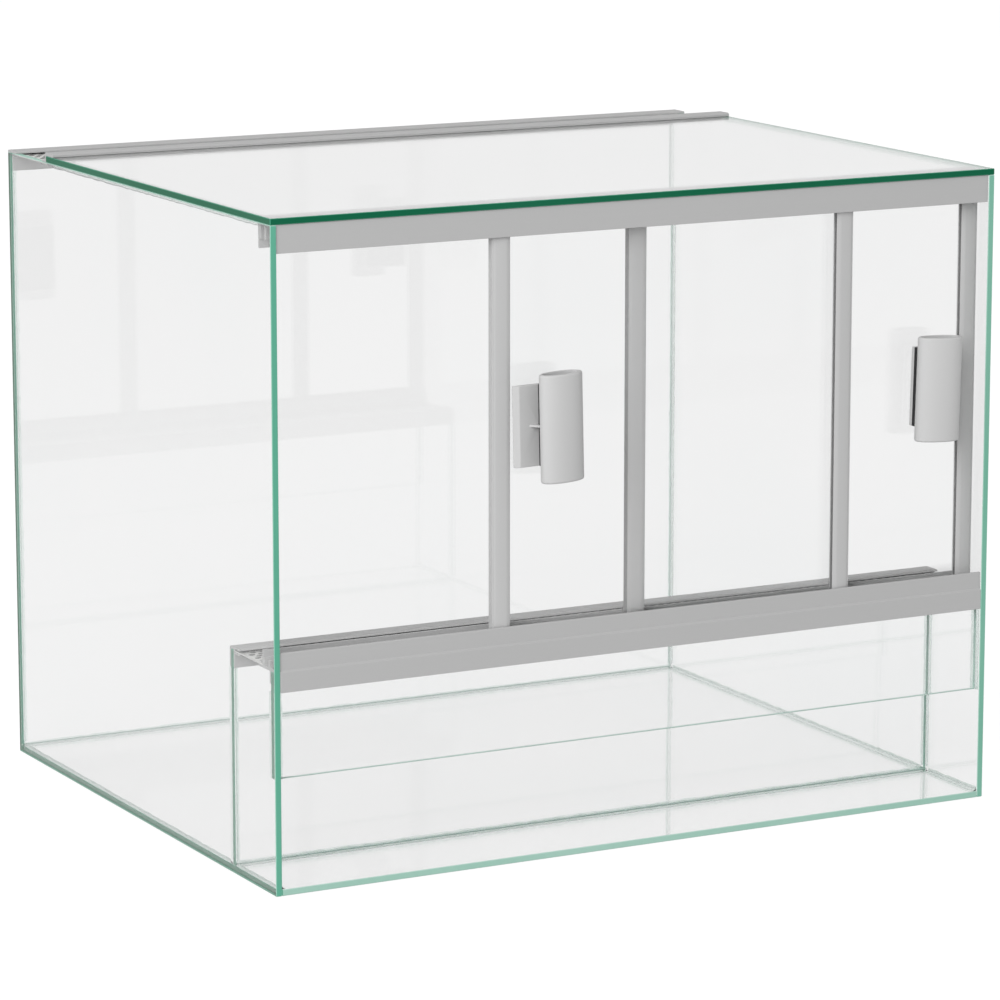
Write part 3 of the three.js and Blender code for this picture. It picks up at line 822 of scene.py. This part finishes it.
class CABINET_OT_door_edges(Operator):
    """Make the four upright profiles on the edges of the sliding doors"""

    bl_idname = "cabinet.door_edges"
    bl_label = "Door Edges"

    def execute(self, context):
        fillet = 0.08 * MM
        for door in ("left_door", "right_door"):
            for side in ("left", "right"):
                node = f"{door}_{side}_edge"
                low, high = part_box(node)
                section = door_edge_section(node, f"{door}_glass")
                # The sides in the slot, and on the rear door the web side, take the second material:
                # painted shade.
                shade_sides = list(range(len(section) - 3, len(section)))
                if node == "right_door_left_edge":
                    shade_sides.append(WEB_SIDE)
                sharp = mesh_of(extrusion(section, 2, low.z, high.z, shade_sides), node)
                finishes = [edge_plastic(), edge_slot_shade()]
                finish_piece(f"{node}_profile", softened(sharp, fillet), finishes, node)
        return {"FINISHED"}


# ---------------------------------------------------------------- vent plates


def perforated_sheet_tree():
    """Geometry nodes that punch staggered rows of oval holes through a sheet."""
    tree = bpy.data.node_groups.new("perforated_sheet", "GeometryNodeTree")
    sockets = [
        ("Sheet", "NodeSocketVector"),
        ("Centre", "NodeSocketVector"),
        ("Hole", "NodeSocketVector"),
        ("Pitch", "NodeSocketVector"),
        ("Columns", "NodeSocketInt"),
        ("Rows", "NodeSocketInt"),
        ("Sides", "NodeSocketInt"),
        ("Hole Wall Shade", "NodeSocketMaterial"),
        ("Face", "NodeSocketMaterial"),
    ]
    for label, kind in sockets:
        tree.interface.new_socket(name=label, in_out="INPUT", socket_type=kind)
    tree.interface.new_socket(name="Geometry", in_out="OUTPUT", socket_type="NodeSocketGeometry")
    given = tree.nodes.new("NodeGroupInput").outputs
    out = tree.nodes.new("NodeGroupOutput").inputs

    def split(vector):
        return add(tree, "ShaderNodeSeparateXYZ", vector).outputs

    def span(count, pitch):
        return math_node(tree, "MULTIPLY", math_node(tree, "SUBTRACT", count, 1.0), pitch)

    pitch = split(given["Pitch"])
    grid = add(
        tree,
        "GeometryNodeMeshGrid",
        span(given["Columns"], pitch["X"]),
        span(given["Rows"], pitch["Y"]),
        given["Columns"],
        given["Rows"],
    )
    index = tree.nodes.new("GeometryNodeInputIndex").outputs[0]
    row = math_node(tree, "MODULO", index, given["Rows"])
    odd = math_node(tree, "MODULO", row, 2.0)
    half_pitch = math_node(tree, "DIVIDE", pitch["X"], 2.0)
    stagger = math_node(tree, "MULTIPLY", math_node(tree, "SUBTRACT", odd, 0.5), half_pitch)
    shift = add(tree, "ShaderNodeCombineXYZ", stagger, 0.0, 0.0).outputs[0]
    places = add(tree, "GeometryNodeSetPosition", grid.outputs["Mesh"], Offset=shift).outputs[0]
    punch = add(tree, "GeometryNodeMeshCylinder", given["Sides"], None, None, 0.5, 1.0)
    walled = add(tree, "GeometryNodeSetMaterial", punch.outputs["Mesh"], Material=given["Hole Wall Shade"])
    punches = add(
        tree,
        "GeometryNodeInstanceOnPoints",
        places,
        Instance=walled.outputs[0],
        Scale=given["Hole"],
    )
    loose = add(tree, "GeometryNodeRealizeInstances", punches.outputs[0]).outputs[0]
    blank = add(tree, "GeometryNodeMeshCube", given["Sheet"]).outputs["Mesh"]
    faced = add(tree, "GeometryNodeSetMaterial", blank, Material=given["Face"]).outputs[0]
    cut = tree.nodes.new("GeometryNodeMeshBoolean")
    cut.operation = "DIFFERENCE"
    cut.solver = "MANIFOLD"
    tree.links.new(faced, cut.inputs["Mesh 1"])
    tree.links.new(loose, cut.inputs["Mesh 2"])
    placed = add(tree, "GeometryNodeTransform", cut.outputs["Mesh"], Translation=given["Centre"])
    solid = add(tree, "GeometryNodeRealizeInstances", placed.outputs[0]).outputs[0]
    tree.links.new(solid, out["Geometry"])
    return tree


def perforated_sheet(node, tree, rows):
    """The mesh of a perforated plate, with its materials, on the floor of its CAD node's slot."""
    look = settings().vent
    low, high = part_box(node)
    high.z = low.z + look.thickness
    size = high - low
    margin = look.pitch_along / 2
    punch_height = 4 * size.z
    given = {
        "Sheet": size,
        "Centre": (low + high) / 2,
        "Hole": (look.hole_length, look.hole_width, punch_height),
        "Pitch": (look.pitch_along, look.pitch_across, 0.0),
        "Columns": int((size.x - margin) / look.pitch_along),
        "Rows": rows,
        "Sides": look.hole_sides,
        "Hole Wall Shade": hole_wall_shade(),
        "Face": vent_metal(),
    }
    carrier = carrier_of(bpy.data.meshes.new(node))
    modifier = carrier.modifiers.new("Perforation", "NODES")
    modifier.node_group = tree
    for socket in tree.interface.items_tree:
        if socket.in_out == "INPUT":
            modifier[socket.identifier] = given[socket.name]
    mesh = applied(carrier)
    if not mesh.polygons:
        raise RuntimeError(f"the perforation of {node} came out empty")
    return mesh


class CABINET_OT_vent_plates(Operator):
    """Make the perforated plates behind the lower rail and at the top rear"""

    bl_idname = "cabinet.vent_plates"
    bl_label = "Vent Plates"

    def execute(self, context):
        tree = perforated_sheet_tree()
        for node, rows in (("lower_vent_plate", 7), ("rear_vent_plate", 11)):
            mesh = perforated_sheet(node, tree, rows)
            finish_piece(f"{node}_sheet", mesh, [], node)
        return {"FINISHED"}


# ---------------------------------------------------------------- handles


def grip_mesh(node, inward):
    """An upright oval tube, open at both ends, with rounded rims, turned inwards and leaning."""
    look = settings().handle
    low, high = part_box(node)
    middle = (low + high) / 2
    points = 96
    turns = 6
    fullness = 0.94
    half = look.height / 2
    corners = (
        (look.rim, half - look.rim, look.rim, math.pi),
        (look.wall - look.inner_rim, half - look.inner_rim, look.inner_rim, math.pi / 2),
        (look.wall - look.inner_rim, look.inner_rim - half, look.inner_rim, 0.0),
        (look.rim, look.rim - half, look.rim, -math.pi / 2),
    )
    wall = []
    for inset, height, radius, start in corners:
        for i in range(turns + 1):
            angle = start - i / turns * math.pi / 2
            wall.append((inset + radius * math.cos(angle), height + radius * math.sin(angle)))
    lean = Matrix.Rotation(-inward * look.lean, 3, "Y")
    turn = Matrix.Rotation(inward * look.turn, 3, "Z")

    def bulged(value):
        return math.copysign(abs(value) ** fullness, value)

    loops = []
    for inset, height in wall:
        loop = []
        for i in range(points):
            angle = 2 * math.pi * i / points
            x = (look.across / 2 - inset) * bulged(math.cos(angle))
            y = (look.through / 2 - inset) * bulged(math.sin(angle))
            loop.append(middle + lean @ turn @ Vector((x, y, height)))
        loops.append(loop)
    return mesh_of(rings(loops, closed_around=True), node)


class CABINET_OT_handles(Operator):
    """Make the two pull handles: pad, base, spacer and oval grip"""

    bl_idname = "cabinet.handles"
    bl_label = "Handles"

    def execute(self, context):
        skin = settings().profile.skin
        for door, inward in (("left_door", 1), ("right_door", -1)):
            grip = f"{door}_handle_grip"
            finish_piece(f"{grip}_tube", grip_mesh(grip, inward), [handle_plastic()], grip)
            # The spacer takes the dark foam colour, so a dark line runs between base and grip.
            parts = (
                ("base", 0.5 * MM, handle_plastic()),
                ("spacer", 0.3 * MM, dark_foam()),
                ("pad", 0.2 * MM, dark_foam()),
            )
            for part, radius, finish in parts:
                node = f"{door}_handle_{part}"
                mesh = softened(node_mesh(node, skin), radius)
                finish_piece(f"{node}_moulding", mesh, [finish], node)
        return {"FINISHED"}


# ---------------------------------------------------------------- silicone


def bead_places(node):
    """Where a seam runs: its axis, its two other axes, the inner corner and where it reaches."""
    low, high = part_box(node)
    size = high - low
    axis = max(range(3), key=lambda i: size[i])
    first, second = [i for i in range(3) if i != axis]
    flat = {
        (round(vert.co[first] / MM, 2), round(vert.co[second] / MM, 2))
        for vert in frame["nodes"][node].data.vertices
    }
    corner = next(p for p in flat if all(q[0] == p[0] or q[1] == p[1] for q in flat))
    corner = (corner[0] * MM, corner[1] * MM)
    reach = tuple(
        (high[i] if abs(corner[k] - low[i]) < abs(corner[k] - high[i]) else low[i]) - corner[k]
        for k, i in enumerate((first, second))
    )
    return axis, (first, second), corner, reach


def bead_mesh(node, number):
    """A hand-tooled seam: a hollow fillet whose reach drifts along its length."""
    look = settings().silicone
    low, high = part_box(node)
    axis, others, corner, reach = bead_places(node)
    films = [math.copysign(settings().glass.bond, reach[k]) for k in (0, 1)]
    origin = [corner[k] + films[k] for k in (0, 1)]
    draw = random.Random(number)
    length = high[axis] - low[axis]
    stations = max(3, round(length / look.step))
    arc_steps = 6
    loops = []
    for i in range(stations + 1):
        along = low[axis] + length * i / stations
        shares = [1.0 - look.wobble * draw.random() for _ in others]
        legs = [reach[k] * shares[k] - films[k] for k in (0, 1)]
        section = [tuple(origin)]
        for j in range(arc_steps + 1):
            angle = j / arc_steps * math.pi / 2
            first = origin[0] + legs[0] * (1 - math.sin(angle))
            second = origin[1] + legs[1] * (1 - math.cos(angle))
            section.append((first, second))
        loop = []
        for pair in section:
            place = Vector((0.0, 0.0, 0.0))
            place[axis] = along
            place[others[0]], place[others[1]] = pair
            loop.append(place)
        loops.append(loop)
    return mesh_of(rings(loops, closed_around=False), node)


class CABINET_OT_silicone(Operator):
    """Make the clear seams in the corners of the glass and the bedding of the front strip"""

    bl_idname = "cabinet.silicone"
    bl_label = "Silicone Seams"

    def execute(self, context):
        beads = sorted(name for name in frame["nodes"] if name.startswith("silicone_"))
        for number, node in enumerate(beads):
            finish_piece(f"{node}_seam", bead_mesh(node, number), [clear_silicone()], node)
        node = "strip_bedding"
        radius = 0.2 * MM
        mesh = softened(node_mesh(node, settings().profile.skin), radius)
        finish_piece(f"{node}_seam", mesh, [clear_silicone()], node)
        return {"FINISHED"}


# ---------------------------------------------------------------- stage


def seen_by(tree, camera, glossy, other):
    """A strength that differs for the camera, for reflections and glass, and for other light."""
    path = tree.nodes.new("ShaderNodeLightPath").outputs
    through = math_node(tree, "MAXIMUM", path["Is Glossy Ray"], path["Is Transmission Ray"])
    seen = math_node(tree, "MULTIPLY_ADD", path["Is Camera Ray"], camera - other, other)
    return math_node(tree, "MULTIPLY_ADD", through, glossy - other, seen)


def floor_paper():
    """Pale paper: it keeps a soft shadow and fades into the backdrop."""
    look = settings().stage

    def build(tree):
        returned = look.floor * look.ambient
        levels = [level - returned for level in (look.backdrop, look.through, look.ambient)]
        fibre = noise(tree, object_place(tree), 900.0, 3.0)
        bump = bumped(tree, fibre, 0.05, 0.2 * MM)
        paper = add(tree, "ShaderNodeBsdfDiffuse", Color=(look.floor,) * 3 + (1.0,), Normal=bump)
        glow = add(tree, "ShaderNodeEmission", Strength=seen_by(tree, *levels))
        return add(tree, "ShaderNodeAddShader", paper.outputs[0], glow.outputs[0]).outputs[0]

    return material("floor_paper", build)


def make_floor():
    """A floor that reaches far past the view, just under the cabinet's foot."""
    side = 120.0
    drop = 0.6 * MM
    bm = bmesh.new()
    bmesh.ops.create_grid(bm, x_segments=1, y_segments=1, size=side / 2)
    for vert in bm.verts:
        vert.co.z = -drop
    mesh = mesh_of(bm, "floor")
    mesh.materials.append(floor_paper())
    made = bpy.data.objects.new("floor", mesh)
    bpy.context.scene.collection.objects.link(made)


def make_world():
    """White behind the cabinet, and even light from all round."""
    look = settings().stage
    world = bpy.data.worlds.new("studio")
    world.use_nodes = True
    tree = world.node_tree
    strength = seen_by(tree, look.backdrop, look.through, look.ambient)
    tree.links.new(strength, tree.nodes["Background"].inputs["Strength"])
    tree.nodes["Background"].inputs["Color"].default_value = (1.0, 1.0, 1.0, 1.0)
    bpy.context.scene.world = world


def make_lamp(name, power, place, target, size):
    """A large soft lamp that neither the camera nor the glass shows."""
    data = bpy.data.lights.new(name, "AREA")
    data.shape = "SQUARE"
    data.size = size
    data.energy = power
    made = bpy.data.objects.new(name, data)
    bpy.context.scene.collection.objects.link(made)
    made.location = place
    made.rotation_euler = (Vector(target) - Vector(place)).to_track_quat("-Z", "Y").to_euler()
    made.visible_camera = False
    made.visible_glossy = False
    made.visible_transmission = False


CAMERA_PLACE = (-1.3920, -2.6376, 0.7695)
CAMERA_YAW = math.radians(27.925)
CAMERA_PITCH = math.radians(-11.143)
FOCAL_PIXELS = 4701.7
IMAGE_PIXELS = 1000
SENSOR_MM = 36.0


def make_camera():
    """The photograph's view: from the left, a little above, through a long lens."""
    data = bpy.data.cameras.new("camera")
    data.sensor_width = SENSOR_MM
    data.lens = SENSOR_MM * FOCAL_PIXELS / IMAGE_PIXELS
    data.clip_end = 200.0
    made = bpy.data.objects.new("camera", data)
    bpy.context.scene.collection.objects.link(made)
    made.location = CAMERA_PLACE
    made.rotation_euler = (math.pi / 2 + CAMERA_PITCH, 0.0, -CAMERA_YAW)
    bpy.context.scene.camera = made


class CABINET_OT_stage(Operator):
    """Make the floor, the world, the lamps and the camera"""

    bl_idname = "cabinet.stage"
    bl_label = "Stage"

    def execute(self, context):
        look = settings().stage
        middle = (0.0, 0.0, 0.2)
        make_camera()
        make_floor()
        make_world()
        make_lamp("key", look.key, (-3.7, -3.3, 2.6), middle, 4.2)
        make_lamp("fill", look.fill, (3.5, 3.5, 2.5), middle, 3.5)
        scene = context.scene
        scene.view_settings.view_transform = "Standard"
        cycles = scene.cycles
        cycles.max_bounces = 32
        cycles.transmission_bounces = 32
        cycles.glossy_bounces = 16
        cycles.transparent_max_bounces = 32
        return {"FINISHED"}


# ---------------------------------------------------------------- add-on

OPERATORS = (
    CABINET_OT_panes,
    CABINET_OT_rails,
    CABINET_OT_door_edges,
    CABINET_OT_vent_plates,
    CABINET_OT_handles,
    CABINET_OT_silicone,
    CABINET_OT_stage,
)


class CABINET_PT_panel(Panel):
    bl_label = "Terrarium Cabinet"
    bl_space_type = "VIEW_3D"
    bl_region_type = "UI"
    bl_category = "Terrarium"

    def draw(self, context):
        column = self.layout.column()
        for operator in OPERATORS:
            column.operator(operator.bl_idname)
        for group in CabinetSettings.__annotations__:
            part = getattr(context.scene.terrarium_cabinet, group)
            box = self.layout.box()
            box.label(text=group.title())
            for name in part.__annotations__:
                box.prop(part, name)


CLASSES = (
    GlassSettings,
    ProfileSettings,
    VentSettings,
    HandleSettings,
    SiliconeSettings,
    StageSettings,
    CabinetSettings,
    *OPERATORS,
    CABINET_PT_panel,
)


def register():
    for each in CLASSES:
        bpy.utils.register_class(each)
    bpy.types.Scene.terrarium_cabinet = PointerProperty(type=CabinetSettings)


def unregister():
    del bpy.types.Scene.terrarium_cabinet
    for each in reversed(CLASSES):
        bpy.utils.unregister_class(each)


def main():
    """Make every piece and the stage."""
    register()
    bpy.ops.cabinet.panes()
    bpy.ops.cabinet.rails()
    bpy.ops.cabinet.door_edges()
    bpy.ops.cabinet.vent_plates()
    bpy.ops.cabinet.handles()
    bpy.ops.cabinet.silicone()
    bpy.ops.cabinet.stage()


if __name__ == "__main__":
    main()
